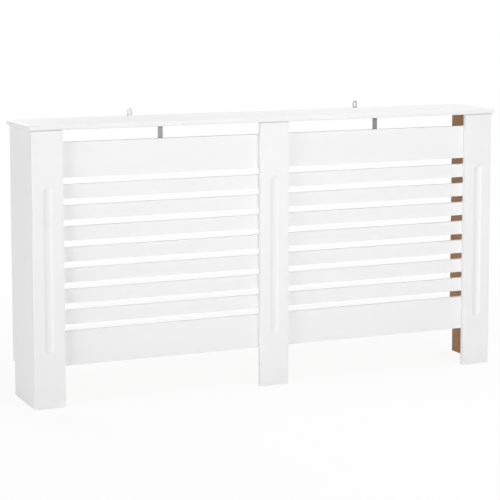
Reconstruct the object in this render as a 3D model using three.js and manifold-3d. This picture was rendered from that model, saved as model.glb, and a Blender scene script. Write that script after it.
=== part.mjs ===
// Radiator cover cabinet: a long, low fibreboard box with an open back that stands over a radiator.
// Millimetres. X runs along the width, the front faces -Y and +Z is up. The origin is on the floor,
// under the middle of the whole cover. Flat-pack construction: boards joined by dowels, cams and
// screws, two slotted grille sheets screwed behind three fluted posts, steel angles at the top.

import * as THREE from 'three';
import { mergeVertices } from 'three/addons/utils/BufferGeometryUtils.js';
import Module from 'manifold-3d';

const wasm = await Module();
wasm.setup();

// ---------- driving dimensions ----------

const overallWidth = 1520;
const overallHeight = 815; // floor to the top surface, the hanger ears stand above it
const topDepth = 225;
const boardStock = 15; // fibreboard sheet that every board is cut from

const seam = 0.2; // hairline between two boards that are drawn together
const seat = 0.3; // between a steel angle and the board it lies on

const top = { overhang: 8, noseRadius: 5, cornerRadius: 9, noseSteps: 4, cornerSteps: 6 };
const post = { width: 93 };
const flute = { width: 27, depth: 5, fromFloor: 160, fromTop: 160, sides: 48, endSteps: 6 };
const skirtingNotch = { depth: 18, height: 100 };
const grille = {
  legGap: 117, // open, from the floor to the sheet
  airGap: 37, // open, from the sheet to the underside of the top board
  railHeight: 101,
  slotCount: 8,
  slotHeight: 20,
  slotTuck: 12, // how far a slot runs on behind a post, so that its round end is hidden
  slotEndSteps: 6,
};

// the strap hangs down over the air gap and laps onto the top rail, where its lower holes are
const strap = {
  width: 15, thickness: 2, railLap: 38, reach: 40, bend: 0.8, railHoles: [10, 26], reachHoles: [14, 30],
};
const hanger = { width: 15, thickness: 2, rise: 40, reach: 40, bend: 0.8, reachHoles: [14, 30] };
const hangerSlot = { width: 6, length: 14, fromEnd: 5 };
const hangerInset = 380; // from the middle of the cover to a wall hanger
const brace = { width: 15, thickness: 2, drop: 30, reach: 30, bend: 0.8, holes: [20], reachHoles: [20] };

const angleScrew = { shank: 1.75, length: 12, tip: 3, headRadius: 3.4, headHeight: 2, sides: 12 };
const grilleScrew = { shank: 2, length: 24, tip: 4, headRadius: 4, headHeight: 2.6, sides: 12 };
const grilleScrewPlace = { fromPostEdge: 23, fromRailEdge: 50 };
const dowel = { radius: 4, length: 30, chamfer: 1, shallowEnd: 10, sides: 12 };
const cam = { radius: 7.5, height: 12, sides: 24, recessRadius: 3, recessDepth: 2 };
const camBolt = {
  threadRadius: 3, threadLength: 10, shankRadius: 2.6, neckRadius: 1.7, neckLength: 6,
  headRadius: 3.2, headLength: 4, toCam: 34, sides: 12,
};

const screwClearance = 0.25; // radial, round a shank in its hole
const dowelClearance = 0.2; // radial, round a dowel
const camClearance = 0.3; // radial, round a cam and round its bolt
const boreEndClearance = 0.8; // beyond the end of anything that sits in a blind hole
const headSeat = 0.1; // under the head of a screw

// where the fasteners of the side panels sit, from the floor and the top, and from the panel's edges
const sideFasteners = {
  postCamsFromEnds: 150,
  postDowelsFromEnds: 60,
  topCamFromFront: 100,
  topDowelFromFront: 40,
  topDowelFromBack: 36.8,
};

// ---------- places worked out from the dimensions ----------

const frontY = -(topDepth + seat + hanger.thickness) / 2;
const backY = frontY + topDepth;
const undersideZ = overallHeight - boardStock;
const outerX = overallWidth / 2 - top.overhang; // outer face of posts and side panels
const innerX = outerX - boardStock; // inner face of a side panel
const postFrontY = frontY + top.overhang;
const postBackY = postFrontY + boardStock;
const sheetFrontY = postBackY + seam;
const sheetBackY = sheetFrontY + boardStock;
const boardTopZ = undersideZ - seam; // posts and side panels end here
const sheetBottomZ = grille.legGap;
const sheetTopZ = undersideZ - grille.airGap;
const sheetHeight = sheetTopZ - sheetBottomZ;
const fluteBottomZ = flute.fromFloor;
const fluteTopZ = undersideZ - flute.fromTop;
const bothEnds = (fromEnd) => [fromEnd, undersideZ - fromEnd];
const cornerPostX = outerX - post.width / 2;
const openingInnerX = post.width / 2; // edge of the centre post
const openingOuterX = outerX - post.width; // edge of a corner post
const strapX = (openingInnerX + openingOuterX) / 2;

const along = {
  x: new THREE.Vector3(1, 0, 0), left: new THREE.Vector3(-1, 0, 0),
  back: new THREE.Vector3(0, 1, 0), front: new THREE.Vector3(0, -1, 0),
  up: new THREE.Vector3(0, 0, 1), down: new THREE.Vector3(0, 0, -1),
};
const at = (x, y, z) => new THREE.Vector3(x, y, z);

// ---------- finishes ----------

const finishes = {
  paint: new THREE.MeshStandardMaterial({ color: 0xf3f3f2, roughness: 0.5, metalness: 0 }),
  steel: new THREE.MeshStandardMaterial({ color: 0xa9abad, roughness: 0.38, metalness: 0.9 }),
  zinc: new THREE.MeshStandardMaterial({ color: 0xc2bfb6, roughness: 0.45, metalness: 0.8 }),
  beech: new THREE.MeshStandardMaterial({ color: 0xc9a878, roughness: 0.7, metalness: 0 }),
};

// ---------- solids: joining and cutting ----------

function toSolid(geometry) {
  const bare = geometry.clone();
  bare.deleteAttribute('normal');
  bare.deleteAttribute('uv');
  const merged = mergeVertices(bare, 1e-5);
  return new wasm.Manifold(new wasm.Mesh({
    numProp: 3,
    vertProperties: new Float32Array(merged.attributes.position.array),
    triVerts: new Uint32Array(merged.index.array),
  }));
}

function toGeometry(solid) {
  const mesh = solid.getMesh();
  const geometry = new THREE.BufferGeometry();
  geometry.setAttribute('position', new THREE.BufferAttribute(new Float32Array(mesh.vertProperties), 3));
  geometry.setIndex(new THREE.BufferAttribute(new Uint32Array(mesh.triVerts), 1));
  geometry.computeVertexNormals();
  return geometry;
}

const cutAll = (solid, cutters) => cutters.reduce((left, cutter) => left.subtract(toSolid(cutter)), solid);

// A round bar that starts at a point and runs a given length in a direction.
function barGeometry(start, direction, radius, length, sides) {
  const bar = new THREE.CylinderGeometry(radius, radius, length, sides);
  bar.applyQuaternion(new THREE.Quaternion().setFromUnitVectors(along.back, direction));
  const middle = start.clone().addScaledVector(direction, length / 2);
  return bar.translate(middle.x, middle.y, middle.z);
}

// ---------- boards ----------

// A board keeps its solid in its own frame and its place in the cover, so that a fitting can drill it
// where the fitting itself sits.
class Board {
  constructor(name, geometry, place) {
    this.name = name;
    this.place = place;
    this.solid = toSolid(geometry);
  }

  drill(mouth, direction, radius, depth, sides, overrun = 1) {
    const start = mouth.clone().sub(this.place).addScaledVector(direction, -overrun);
    this.solid = this.solid.subtract(toSolid(barGeometry(start, direction, radius, depth + overrun, sides)));
  }

  mesh() {
    const mesh = new THREE.Mesh(toGeometry(this.solid), finishes.paint);
    mesh.name = this.name;
    mesh.position.copy(this.place);
    return mesh;
  }
}

const extrude = (shape, depth, options = {}) =>
  new THREE.ExtrudeGeometry(shape, { depth, bevelEnabled: false, curveSegments: 6, ...options });

function rectangle(x0, y0, x1, y1) {
  const shape = new THREE.Shape();
  shape.moveTo(x0, y0).lineTo(x1, y0).lineTo(x1, y1).lineTo(x0, y1).closePath();
  return shape;
}

// The top board: a rounded nose along the front and both ends, round front corners in plan, a square
// sawn back edge against the wall. The nose is an extrusion bevel, and the back is cut off square.
function topBoardGeometry() {
  const half = overallWidth / 2 - top.noseRadius;
  const frontEdge = top.noseRadius;
  const cutOff = 2 * top.noseRadius;
  const backEdge = topDepth + cutOff;
  const corner = top.cornerRadius - top.noseRadius;
  const outline = new THREE.Shape();
  outline.moveTo(-half, backEdge);
  outline.lineTo(-half, frontEdge + corner);
  outline.absarc(-half + corner, frontEdge + corner, corner, Math.PI, 1.5 * Math.PI, false);
  outline.lineTo(half - corner, frontEdge);
  outline.absarc(half - corner, frontEdge + corner, corner, 1.5 * Math.PI, 2 * Math.PI, false);
  outline.lineTo(half, backEdge);
  outline.closePath();
  const board = extrude(outline, boardStock - 2 * top.noseRadius, {
    bevelEnabled: true, bevelThickness: top.noseRadius, bevelSize: top.noseRadius,
    bevelSegments: top.noseSteps, curveSegments: top.cornerSteps,
  });
  board.translate(0, 0, top.noseRadius);
  const saw = new THREE.BoxGeometry(overallWidth + cutOff, 2 * cutOff, boardStock + cutOff);
  saw.translate(0, topDepth + cutOff, boardStock / 2);
  return toGeometry(toSolid(board).subtract(toSolid(saw)));
}

// A post: a plain board with one cove flute down the middle of its face. The cutter is a long round
// bar with ball ends whose axis stands in front of the face, so the flute's ends run out round.
function postGeometry() {
  const blank = new THREE.BoxGeometry(post.width, boardStock, boardTopZ);
  blank.translate(0, boardStock / 2, boardTopZ / 2);
  const halfWidth = flute.width / 2;
  const cutterRadius = (halfWidth ** 2 + flute.depth ** 2) / (2 * flute.depth);
  const barHalf = (fluteTopZ - fluteBottomZ) / 2 - halfWidth;
  const profile = [];
  for (let i = 0; i <= flute.endSteps; i++) {
    const angle = (i / flute.endSteps) * (Math.PI / 2);
    const ring = at(cutterRadius * Math.sin(angle), -barHalf - cutterRadius * Math.cos(angle), 0);
    profile.push(new THREE.Vector2(i === 0 ? 0 : ring.x, ring.y));
  }
  for (let i = flute.endSteps; i >= 0; i--) {
    profile.push(new THREE.Vector2(profile[i].x, -profile[i].y));
  }
  const cutter = new THREE.LatheGeometry(profile, flute.sides);
  cutter.rotateX(Math.PI / 2);
  cutter.translate(0, flute.depth - cutterRadius, (fluteTopZ + fluteBottomZ) / 2);
  return toGeometry(toSolid(blank).subtract(toSolid(cutter)));
}

// A side panel, drawn in profile and given its thickness along X, with the notch that lets it stand
// over a skirting board.
function sidePanelGeometry() {
  const depth = backY - sheetFrontY;
  const outline = new THREE.Shape();
  outline.moveTo(0, 0);
  outline.lineTo(depth - skirtingNotch.depth, 0);
  outline.lineTo(depth - skirtingNotch.depth, skirtingNotch.height);
  outline.lineTo(depth, skirtingNotch.height);
  outline.lineTo(depth, boardTopZ);
  outline.lineTo(0, boardTopZ);
  outline.closePath();
  const panel = extrude(outline, boardStock);
  // the profile's x, y and depth become the panel's y, z and x
  return panel.applyMatrix4(new THREE.Matrix4().makeBasis(along.back, along.up, along.x));
}

// A grille sheet: one board with a pattern of long round-ended slots between two rails. Local x runs
// from the joint behind the centre post outwards.
const sheetWidth = innerX - 2 * seam;
const slatHeight = (sheetHeight - 2 * grille.railHeight
  - grille.slotCount * grille.slotHeight) / (grille.slotCount - 1);
const slotPitch = grille.slotHeight + slatHeight;

function grilleShape() {
  const sheet = rectangle(0, 0, sheetWidth, sheetHeight);
  const end = grille.slotHeight / 2;
  const slotStart = openingInnerX - seam - grille.slotTuck;
  const slotEnd = openingOuterX - seam + grille.slotTuck;
  for (let i = 0; i < grille.slotCount; i++) {
    const middle = grille.railHeight + end + i * slotPitch;
    const slot = new THREE.Path();
    slot.absarc(slotEnd - end, middle, end, -Math.PI / 2, Math.PI / 2, false);
    slot.absarc(slotStart + end, middle, end, Math.PI / 2, 1.5 * Math.PI, false);
    slot.closePath();
    sheet.holes.push(slot);
  }
  return sheet;
}

function grilleGeometry(side) {
  const sheet = extrude(grilleShape(), boardStock, { curveSegments: grille.slotEndSteps });
  sheet.rotateX(Math.PI / 2); // stands the sheet up, its thickness now runs towards -Y
  sheet.translate(0, boardStock, 0);
  return side > 0 ? sheet : sheet.rotateZ(Math.PI).translate(0, boardStock, 0);
}

const topBoard = new Board('top_board', topBoardGeometry(), at(0, frontY, undersideZ));
const sidePanels = [
  new Board('side_panel_left', sidePanelGeometry(), at(-outerX, sheetFrontY, 0)),
  new Board('side_panel_right', sidePanelGeometry(), at(innerX, sheetFrontY, 0)),
];
const cornerPosts = [
  new Board('corner_post_left', postGeometry(), at(-cornerPostX, postFrontY, 0)),
  new Board('corner_post_right', postGeometry(), at(cornerPostX, postFrontY, 0)),
];
const centrePost = new Board('centre_post', postGeometry(), at(0, postFrontY, 0));
const grillePanels = [
  new Board('grille_panel_left', grilleGeometry(-1), at(-seam, sheetFrontY, sheetBottomZ)),
  new Board('grille_panel_right', grilleGeometry(1), at(seam, sheetFrontY, sheetBottomZ)),
];

// ---------- steel angles ----------

// An angle of flat steel. Leg A runs along +Y and leg B along +Z from the outer corner at the origin,
// both with round ends. Holes are given by their distance from the corner.
function angleGeometry(options) {
  const { width, thickness, legA, legB, bend, holeRadius, holesA = [], holesB = [], slotB = null } = options;
  const outer = bend + thickness;
  const profile = new THREE.Shape();
  profile.moveTo(outer, 0);
  profile.lineTo(legA, 0);
  profile.lineTo(legA, thickness);
  profile.lineTo(outer, thickness);
  profile.absarc(outer, outer, bend, 1.5 * Math.PI, Math.PI, true);
  profile.lineTo(thickness, legB);
  profile.lineTo(0, legB);
  profile.lineTo(0, outer);
  profile.absarc(outer, outer, outer, Math.PI, 1.5 * Math.PI, false);
  const strip = extrude(profile, width, { curveSegments: 4 });
  strip.applyMatrix4(new THREE.Matrix4().makeBasis(along.back, along.up, along.x));
  strip.translate(-width / 2, 0, 0);

  const round = width / 2;
  const beyond = 1;
  const legOutline = (length) => {
    const plan = new THREE.Shape();
    plan.moveTo(-round, -beyond);
    plan.lineTo(round, -beyond);
    plan.lineTo(round, length - round);
    plan.absarc(0, length - round, round, 0, Math.PI, false);
    plan.lineTo(-round, -beyond);
    return plan;
  };
  const planA = extrude(legOutline(legA), legB + 2 * beyond).translate(0, 0, -beyond);
  const planB = extrude(legOutline(legB), legA + 2 * beyond).rotateX(Math.PI / 2);
  planB.translate(0, legA + beyond, 0);
  let solid = toSolid(strip).intersect(toSolid(planA)).intersect(toSolid(planB));

  const sides = 12;
  const through = thickness + 2 * beyond;
  const holes = [
    ...holesA.map((y) => barGeometry(at(0, y, -beyond), along.up, holeRadius, through, sides)),
    ...holesB.map((z) => barGeometry(at(0, -beyond, z), along.back, holeRadius, through, sides)),
  ];
  solid = cutAll(solid, holes);
  if (slotB) {
    const slotRound = slotB.width / 2;
    const low = legB - slotB.fromEnd - slotB.length + slotRound;
    const high = legB - slotB.fromEnd - slotRound;
    const plan = new THREE.Shape();
    plan.absarc(0, high, slotRound, 0, Math.PI, false);
    plan.absarc(0, low, slotRound, Math.PI, 2 * Math.PI, false);
    plan.closePath();
    const cutter = extrude(plan, through).rotateX(Math.PI / 2);
    solid = cutAll(solid, [cutter.translate(0, thickness + beyond, 0)]);
  }
  return toGeometry(solid);
}

const pieces = [];
function addPiece(name, geometry, finish, place, turn = new THREE.Quaternion()) {
  const mesh = new THREE.Mesh(geometry, finish);
  mesh.name = name;
  mesh.position.copy(place);
  mesh.quaternion.copy(turn);
  pieces.push(mesh);
}

const quarterTurn = (sign) => new THREE.Quaternion().setFromAxisAngle(along.x, sign * Math.PI / 2);
const angleHoleRadius = angleScrew.shank + screwClearance;

// ---------- fasteners: each adds its own piece and drills the boards that it joins ----------

const revolve = (points, sides) =>
  new THREE.LatheGeometry(points.map(([x, y]) => new THREE.Vector2(x, y)), sides);
const facing = (direction) => new THREE.Quaternion().setFromUnitVectors(along.back, direction);

// A pan-head screw: local +Y is the way it is driven, and y = 0 is under its head.
function panScrewGeometry({ shank, length, tip, headRadius, headHeight, sides }) {
  return revolve([
    [0, -headHeight], [headRadius * 0.6, -headHeight], [headRadius, -headHeight * 0.45], [headRadius, 0],
    [shank, 0], [shank, length - tip], [0, length],
  ], sides);
}

// Driven through an angle into a board. The seat is the point on the angle's outer surface.
function driveAngleScrew(name, board, seatPoint, direction, angleThickness) {
  const head = seatPoint.clone().addScaledVector(direction, -headSeat);
  addPiece(name, panScrewGeometry(angleScrew), finishes.zinc, head, facing(direction));
  const mouth = seatPoint.clone().addScaledVector(direction, angleThickness + seat);
  const reach = angleScrew.length - headSeat - angleThickness - seat + boreEndClearance;
  board.drill(mouth, direction, angleHoleRadius, reach, angleScrew.sides);
}

// Driven through the grille sheet from behind into a post, its head flush in a countersink.
function driveGrilleScrew(name, sheet, postBoard, x, z) {
  const { shank, length, tip, headRadius, headHeight, sides } = grilleScrew;
  const head = at(x, sheetBackY - headSeat, z);
  const geometry = revolve([
    [0, 0], [headRadius, 0], [shank, headHeight], [shank, length - tip], [0, length],
  ], sides);
  addPiece(name, geometry, finishes.zinc, head, facing(along.front));
  const hole = shank + screwClearance;
  sheet.drill(at(x, sheetBackY, z), along.front, hole, boardStock + 1, sides);
  const sinkDepth = headHeight + headSeat;
  const sinkRadius = headRadius + screwClearance;
  const sink = revolve([
    [0, -1], [sinkRadius + 1, -1], [sinkRadius, 0.01],
    [hole, sinkDepth + screwClearance], [0, sinkDepth + screwClearance],
  ], sides);
  sink.applyQuaternion(facing(along.front));
  const local = at(x, sheetBackY, z).sub(sheet.place);
  sheet.solid = sheet.solid.subtract(toSolid(sink.translate(local.x, local.y, local.z)));
  const intoPost = length + headSeat - boardStock - seam + boreEndClearance;
  postBoard.drill(at(x, postBackY, z), along.front, hole, intoPost, sides);
}

// A dowel across a joint: its shallow end is in the first board, the rest in the second.
function addDowel(name, first, second, joint, direction) {
  const { radius, length, chamfer, shallowEnd, sides } = dowel;
  const start = joint.clone().addScaledVector(direction, -shallowEnd);
  const geometry = revolve([
    [0, 0], [radius - chamfer, 0], [radius, chamfer],
    [radius, length - chamfer], [radius - chamfer, length], [0, length],
  ], sides);
  addPiece(name, geometry, finishes.beech, start, facing(direction));
  const bore = radius + dowelClearance;
  const backwards = direction.clone().negate();
  first.drill(joint, backwards, bore, shallowEnd + boreEndClearance, sides);
  second.drill(joint, direction, bore, length - shallowEnd + boreEndClearance, sides);
}

// A cam and its bolt: the bolt is screwed into the first board and reaches into the second, where the
// cam, let into the second board's inner face, draws it up. inward is the way the cam's face looks.
function addCamJoint(name, first, second, joint, direction, inward) {
  const b = camBolt;
  const start = joint.clone().addScaledVector(direction, -b.threadLength);
  const headStart = b.threadLength + b.toCam - b.headLength / 2;
  const bolt = revolve([
    [0, 0], [b.threadRadius, 0.5], [b.threadRadius, b.threadLength], [b.shankRadius, b.threadLength],
    [b.shankRadius, headStart - b.neckLength], [b.neckRadius, headStart - b.neckLength + 1],
    [b.neckRadius, headStart], [b.headRadius, headStart + 0.8],
    [b.headRadius, headStart + b.headLength - 0.8], [b.headRadius * 0.5, headStart + b.headLength],
    [0, headStart + b.headLength],
  ], b.sides);
  addPiece(`cam_bolt_${name}`, bolt, finishes.zinc, start, facing(direction));
  first.drill(joint, direction.clone().negate(), b.threadRadius + screwClearance,
    b.threadLength + boreEndClearance, b.sides);
  second.drill(joint, direction, b.headRadius + camClearance, b.toCam, b.sides);

  const middle = joint.clone().addScaledVector(direction, b.toCam);
  const face = middle.clone().addScaledVector(inward, boardStock / 2);
  const into = inward.clone().negate();
  second.drill(face, into, cam.radius + camClearance, cam.height + boreEndClearance, cam.sides);
  // local +Y runs into the panel, and the pocket opens towards the joint
  const turn = facing(into);
  const towardsJoint = direction.clone().negate().applyQuaternion(turn.clone().invert());
  const body = toSolid(barGeometry(at(0, 0, 0), along.back, cam.radius, cam.height, cam.sides));
  const pocketStart = at(0, boardStock / 2, 0).addScaledVector(towardsJoint, -b.headRadius - camClearance);
  const pocket = barGeometry(pocketStart, towardsJoint, b.headRadius + camClearance, 2 * cam.radius, b.sides);
  const recess = barGeometry(at(0, -1, 0), along.back, cam.recessRadius, cam.recessDepth + 1, 4);
  addPiece(`cam_${name}`, toGeometry(cutAll(body, [pocket, recess])), finishes.zinc, face, turn);
}

// ---------- assembly ----------

const sides = [['left', -1, 0], ['right', 1, 1]];
for (const [side, sign, index] of sides) {
  const panel = sidePanels[index];
  const cornerPost = cornerPosts[index];
  const sheet = grillePanels[index];
  const panelMiddleX = sign * (outerX - boardStock / 2);
  const inward = sign > 0 ? along.left : along.x;

  // corner post to side panel
  bothEnds(sideFasteners.postDowelsFromEnds).forEach((z, i) => {
    const joint = at(panelMiddleX, postBackY, z);
    addDowel(`post_dowel_${side}_${i + 1}`, cornerPost, panel, joint, along.back);
  });
  bothEnds(sideFasteners.postCamsFromEnds).forEach((z, i) => {
    const joint = at(panelMiddleX, postBackY, z);
    addCamJoint(`post_${side}_${i + 1}`, cornerPost, panel, joint, along.back, inward);
  });

  // top board to side panel
  const topDowelPlaces = [
    sheetFrontY + sideFasteners.topDowelFromFront, backY - sideFasteners.topDowelFromBack,
  ];
  topDowelPlaces.forEach((y, i) => {
    const joint = at(panelMiddleX, y, undersideZ);
    addDowel(`top_dowel_${side}_${i + 1}`, topBoard, panel, joint, along.down);
  });
  const topCamJoint = at(panelMiddleX, sheetFrontY + sideFasteners.topCamFromFront, undersideZ);
  addCamJoint(`top_${side}`, topBoard, panel, topCamJoint, along.down, inward);

  // grille sheet to the posts
  const screwHeights = [
    sheetBottomZ + grilleScrewPlace.fromRailEdge, sheetTopZ - grilleScrewPlace.fromRailEdge,
  ];
  screwHeights.forEach((z, i) => {
    const outer = sign * (openingOuterX + grilleScrewPlace.fromPostEdge);
    const inner = sign * (openingInnerX - grilleScrewPlace.fromPostEdge);
    driveGrilleScrew(`grille_screw_${side}_outer_${i + 1}`, sheet, cornerPost, outer, z);
    driveGrilleScrew(`grille_screw_${side}_inner_${i + 1}`, sheet, centrePost, inner, z);
  });

  // top strap: hangs from the underside of the top, down behind the top rail
  const strapCorner = at(sign * strapX, sheetBackY + seat, undersideZ - seat);
  const strapHoles = strap.railHoles.map((fromRailTop) => grille.airGap + fromRailTop);
  const strapGeometry = angleGeometry({
    ...strap, legA: grille.airGap + strap.railLap, legB: strap.reach,
    holesA: strapHoles, holesB: strap.reachHoles, holeRadius: angleHoleRadius,
  });
  addPiece(`top_strap_${side}`, strapGeometry, finishes.steel, strapCorner, quarterTurn(-1));
  strapHoles.forEach((fromCorner, i) => {
    const seatPoint = strapCorner.clone().add(at(0, strap.thickness, -fromCorner));
    driveAngleScrew(`strap_screw_${side}_rail_${i + 1}`, sheet, seatPoint, along.front, strap.thickness);
  });
  strap.reachHoles.forEach((fromCorner, i) => {
    const seatPoint = strapCorner.clone().add(at(0, fromCorner, -strap.thickness));
    driveAngleScrew(`strap_screw_${side}_top_${i + 1}`, topBoard, seatPoint, along.up, strap.thickness);
  });

  // wall hanger: under the top at the back, its slotted ear standing up behind the board
  const hangerBackY = backY + seat + hanger.thickness;
  const hangerCorner = at(sign * hangerInset, hangerBackY, undersideZ - seat - hanger.thickness);
  const hangerGeometry = angleGeometry({
    ...hanger, legA: hanger.reach, legB: hanger.rise, holesA: hanger.reachHoles, holeRadius: angleHoleRadius,
    slotB: hangerSlot,
  });
  addPiece(`wall_hanger_${side}`, hangerGeometry, finishes.steel, hangerCorner,
    new THREE.Quaternion().setFromAxisAngle(along.up, Math.PI));
  hanger.reachHoles.forEach((fromCorner, i) => {
    const seatPoint = hangerCorner.clone().add(at(0, -fromCorner, 0));
    driveAngleScrew(`hanger_screw_${side}_${i + 1}`, topBoard, seatPoint, along.up, hanger.thickness);
  });
}

// centre brace: between the back of the centre post and the underside of the top
const braceCorner = at(0, postBackY + seat, undersideZ - seat);
const braceGeometry = angleGeometry({
  ...brace, legA: brace.drop, legB: brace.reach, holesA: brace.holes, holesB: brace.reachHoles,
  holeRadius: angleHoleRadius,
});
addPiece('centre_brace', braceGeometry, finishes.steel, braceCorner, quarterTurn(-1));
const braceBack = braceCorner.clone().add(at(0, brace.thickness, -brace.holes[0]));
driveAngleScrew('brace_screw_post', centrePost, braceBack, along.front, brace.thickness);
const braceUnder = braceCorner.clone().add(at(0, brace.reachHoles[0], -brace.thickness));
driveAngleScrew('brace_screw_top', topBoard, braceUnder, along.up, brace.thickness);

const boards = [topBoard, ...sidePanels, ...cornerPosts, centrePost, ...grillePanels];
const group = new THREE.Group();
group.add(...boards.map((board) => board.mesh()), ...pieces);

export default group;
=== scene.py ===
import math

import bmesh
import bpy
from mathutils import Matrix, Vector


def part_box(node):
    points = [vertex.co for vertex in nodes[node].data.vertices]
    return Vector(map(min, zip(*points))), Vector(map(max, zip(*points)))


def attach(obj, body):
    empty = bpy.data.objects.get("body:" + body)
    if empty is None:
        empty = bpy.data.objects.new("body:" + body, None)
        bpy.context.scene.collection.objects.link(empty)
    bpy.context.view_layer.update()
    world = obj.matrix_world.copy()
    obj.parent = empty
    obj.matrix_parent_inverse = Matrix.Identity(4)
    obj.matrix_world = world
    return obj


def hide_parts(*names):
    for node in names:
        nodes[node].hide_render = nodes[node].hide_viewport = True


# Looks of a white radiator cover cabinet: sprayed fibreboard, slotted grille sheets behind fluted
# posts, bare brown board inside, steel angles and screws. Metres, front towards -Y.

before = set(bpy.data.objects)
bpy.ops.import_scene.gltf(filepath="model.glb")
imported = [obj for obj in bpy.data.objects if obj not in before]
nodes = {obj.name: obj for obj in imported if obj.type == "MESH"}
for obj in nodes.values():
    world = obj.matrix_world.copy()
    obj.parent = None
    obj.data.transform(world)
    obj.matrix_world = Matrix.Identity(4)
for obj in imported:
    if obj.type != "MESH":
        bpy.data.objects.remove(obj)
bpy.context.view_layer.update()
print("frame loaded:", len(nodes), "nodes")


# shader and geometry graphs

class Signal:
    # one output socket; arithmetic on it adds Math nodes to its graph
    def __init__(self, graph, socket):
        self.graph, self.socket = graph, socket

    def __add__(self, other):
        return self.graph.maths("ADD", self, other)

    def __sub__(self, other):
        return self.graph.maths("SUBTRACT", self, other)

    def __mul__(self, other):
        return self.graph.maths("MULTIPLY", self, other)

    def __truediv__(self, other):
        return self.graph.maths("DIVIDE", self, other)

    def __rsub__(self, other):
        return self.graph.maths("SUBTRACT", other, self)

    def __rtruediv__(self, other):
        return self.graph.maths("DIVIDE", other, self)

    __radd__ = __add__
    __rmul__ = __mul__

    def output(self, name):
        return Signal(self.graph, self.socket.node.outputs[name])


class Graph:
    def __init__(self, tree):
        self.tree = tree
        tree.nodes.clear()

    def find(self, sockets, key):
        if isinstance(key, int):
            return sockets[key]
        for socket in sockets:
            if socket.identifier == key or (socket.name == key and socket.enabled):
                return socket
        raise KeyError(f"no socket {key} among {[s.name for s in sockets]}")

    def node(self, kind, settings=None, sockets=None, output=0):
        made = self.tree.nodes.new(kind)
        for name, value in (settings or {}).items():
            if name == "items":
                while len(made.index_switch_items) < value:
                    made.index_switch_items.new()
            else:
                setattr(made, name, value)
        for key, value in (sockets or {}).items():
            socket = self.find(made.inputs, key)
            for single in value if isinstance(value, list) else [value]:
                if isinstance(single, Signal):
                    self.tree.links.new(single.socket, socket)
                else:
                    socket.default_value = single
        return Signal(self, self.find(made.outputs, output)) if len(made.outputs) else None

    def maths(self, operation, *values):
        return self.node("ShaderNodeMath", {"operation": operation}, dict(enumerate(values)))

    def clamped(self, value):
        return self.node("ShaderNodeClamp", None, {"Value": value})

    def ramped(self, value, low, high):
        return self.node("ShaderNodeMapRange", {"interpolation_type": "SMOOTHSTEP"},
                         {"Value": value, "From Min": low, "From Max": high})

    def tinted(self, factor, first, second):
        colours = [(*c, 1) if isinstance(c, tuple) else c for c in (first, second)]
        return self.node("ShaderNodeMix", {"data_type": "RGBA"},
                         {"Factor_Float": factor, "A_Color": colours[0], "B_Color": colours[1]},
                         "Result_Color")

    def noise(self, where, scale, detail=2.0, roughness=0.5):
        return self.node("ShaderNodeTexNoise", None, {"Vector": where, "Scale": scale,
                                                      "Detail": detail, "Roughness": roughness})

    def cells(self, where, scale, output="Distance"):
        return self.node("ShaderNodeTexVoronoi", {"feature": "F1"},
                         {"Vector": where, "Scale": scale}, output)

    def stretched(self, where, scale, turn=(0, 0, 0)):
        return self.node("ShaderNodeMapping", None,
                         {"Vector": where, "Scale": scale, "Rotation": turn})

    def vector(self, x, y, z=0.0):
        return self.node("ShaderNodeCombineXYZ", None, {"X": x, "Y": y, "Z": z})

    def bump(self, height, strength, distance):
        return self.node("ShaderNodeBump", None,
                         {"Height": height, "Strength": strength, "Distance": distance})

    def seenDirectly(self):
        # 1 for what the camera, a mirror or glass sees, 0 for what only lights the object
        path = self.node("ShaderNodeLightPath")
        through = self.maths("MAXIMUM", path.output("Is Glossy Ray"),
                             path.output("Is Transmission Ray"))
        return self.maths("MAXIMUM", path.output("Is Camera Ray"), through)


def newFinish(name):
    material = bpy.data.materials.new(name)
    material.use_nodes = True
    return material, Graph(material.node_tree)


def finishOff(graph, **sockets):
    named = {key.replace("_", " "): value for key, value in sockets.items()}
    surface = graph.node("ShaderNodeBsdfPrincipled", None, named)
    graph.node("ShaderNodeOutputMaterial", None, {"Surface": surface})


def objectPlace(graph):
    return graph.node("ShaderNodeTexCoord", None, None, "Object")


def xyz(graph, vector):
    split = graph.node("ShaderNodeSeparateXYZ", None, {"Vector": vector})
    return split, split.output("Y"), split.output("Z")


# finishes; a noise is its scale, detail and roughness, an edge the two ends of its ramp

satinWhite = {"body": (0.868, 0.868, 0.866), "shade": (0.838, 0.838, 0.84),
              "cloud": (2.4, 3.0, 0.55), "passes": (1.6, 2.0), "passStretch": (0.9, 7.0, 11.0),
              "patchGain": 0.9,
              "thin": (0.80, 0.775, 0.745), "rubbing": (38.0, 4.0, 0.6), "rubbedEdge": (0.42, 0.75),
              "rubbedTint": 0.2,
              # painted shade under the top board: its grey, band depth, start, fade, cover and
              # cloud share
              "joint": (0.30, 0.30, 0.30), "jointBand": 0.0017, "jointStart": 0.0001,
              "jointFade": 0.0002, "jointCover": 0.8, "jointCloud": 0.2,
              "roughness": 0.46, "cloudRoughness": 0.1, "peelRoughness": 0.06,
              "rubbedRoughness": 0.04, "ior": 1.46,
              "peel": (620.0, 1.5, 0.45),
              "sanding": (240.0, 2.0), "sandingStretch": (1.0, 9.0, 9.0), "sandingHeight": 0.35,
              "nibScale": 70.0, "nibEdge": (0.02, 0.06), "nibHeight": 0.8,
              "bumpStrength": 0.32, "bumpDepth": 0.00006}


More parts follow.
